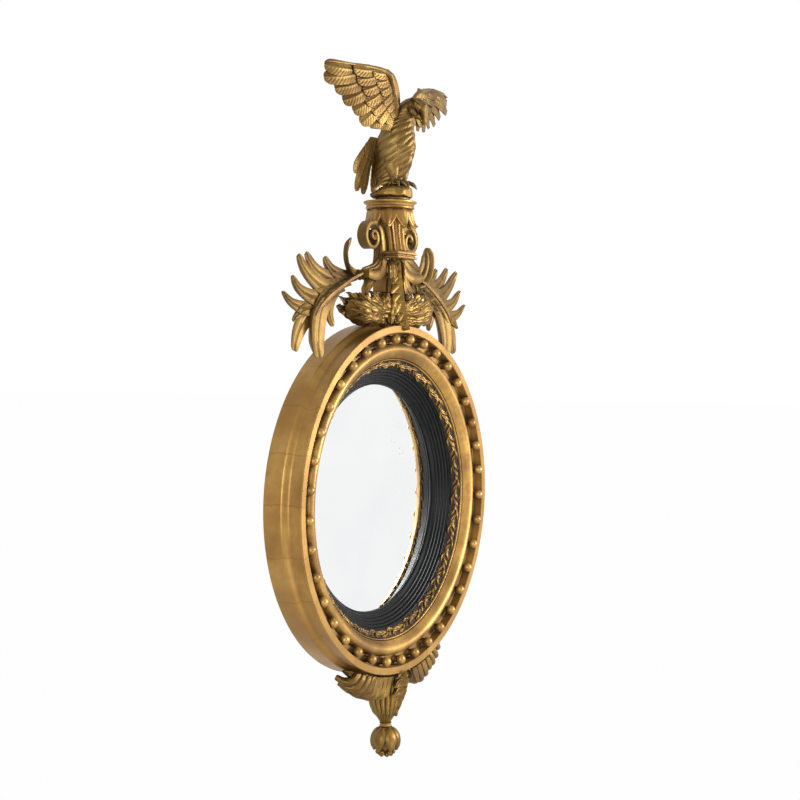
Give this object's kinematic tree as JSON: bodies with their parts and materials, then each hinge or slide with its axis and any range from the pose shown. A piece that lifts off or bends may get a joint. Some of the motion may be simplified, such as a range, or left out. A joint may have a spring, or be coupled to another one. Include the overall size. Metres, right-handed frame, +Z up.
{
  "type": "convex wall mirror",
  "caption": "Round convex wall mirror in a deep giltwood frame with a ring of balls, an eagle crest with leafy scrolls and a leaf apron.",
  "frame": {"origin": "centre of the round case on the plane of the wall", "axes": "+Z up, the mirror faces -Y, +X to the right of someone who faces the mirror, wall plane y = 0"},
  "size_m": [0.5918, 0.1117, 1.1536],
  "materials": {
    "gilt": "burnished water gilding on gesso and reddish bole, rubbed at the edges",
    "gilt_carved": "matt oil gilding on carved softwood, darker in the hollows",
    "ebonised": "black ebonised wood, satin",
    "mirror": "silvered convex glass with light age spots",
    "pine": "bare aged pine",
    "brass": "dull brass plate and wire",
    "iron": "dark forged iron strap",
    "steel": "plain steel screws"
  },
  "bodies": {
    "mirror_frame": {"apron_calyx": "gilt_carved", "apron_front_leaf": "gilt_carved", "apron_leaf_left": "gilt_carved", "apron_leaf_right": "gilt_carved", "backboard": "pine", "backboard_screw_1": "steel", "backboard_screw_2": "steel", "backboard_screw_3": "steel", "backboard_screw_4": "steel", "ball_channel": "gilt", "base_curl_left": "gilt_carved", "base_curl_right": "gilt_carved", "cap_moulding": "gilt", "collar_band": "gilt", "crest_mound": "gilt_carved", "crest_stem": "gilt_carved", "crest_strap": "iron", "eagle_body": "gilt_carved", "eagle_plinth": "gilt", "eagle_tail": "gilt_carved", "ebonised_slip": "ebonised", "finial_bud": "gilt_carved", "finial_neck": "gilt", "foliate_band": "gilt_carved", "front_leaf": "gilt_carved", "glazing_block_1": "pine", "glazing_block_2": "pine", "glazing_block_3": "pine", "glazing_block_4": "pine", "glazing_block_5": "pine", "glazing_block_6": "pine", "hanger_plate_left": "brass", "hanger_plate_right": "brass", "hanger_screw_left_1": "steel", "hanger_screw_left_2": "steel", "hanger_screw_right_1": "steel", "hanger_screw_right_2": "steel", "inner_moulding": "gilt", "leaf_capital": "gilt_carved", "mirror_plate": "mirror", "outer_case": "gilt", "perch_rock": "gilt_carved", "scroll_left": "gilt_carved", "scroll_right": "gilt_carved", "spray_left": "gilt_carved", "spray_right": "gilt_carved", "stem_leaf_left": "gilt_carved", "stem_leaf_right": "gilt_carved", "strap_screw_1": "steel", "strap_screw_2": "steel", "strap_screw_3": "steel", "wing_left": "gilt_carved", "wing_right": "gilt_carved"},
    "left_hanging_ring": {"hanger_ring_left": "brass"},
    "right_hanging_ring": {"hanger_ring_right": "brass"}
  },
  "joints": [
    {"name": "left_ring_swing", "type": "hinge", "parent": "mirror_frame", "child": "left_hanging_ring", "pos_m": [-0.21838, -0.0043, 0.15178], "axis": [1, 0, 0], "range_deg": [0, 180]},
    {"name": "right_ring_swing", "type": "hinge", "parent": "mirror_frame", "child": "right_hanging_ring", "pos_m": [0.21838, -0.0043, 0.15178], "axis": [1, 0, 0], "range_deg": [0, 180]}
  ]
}
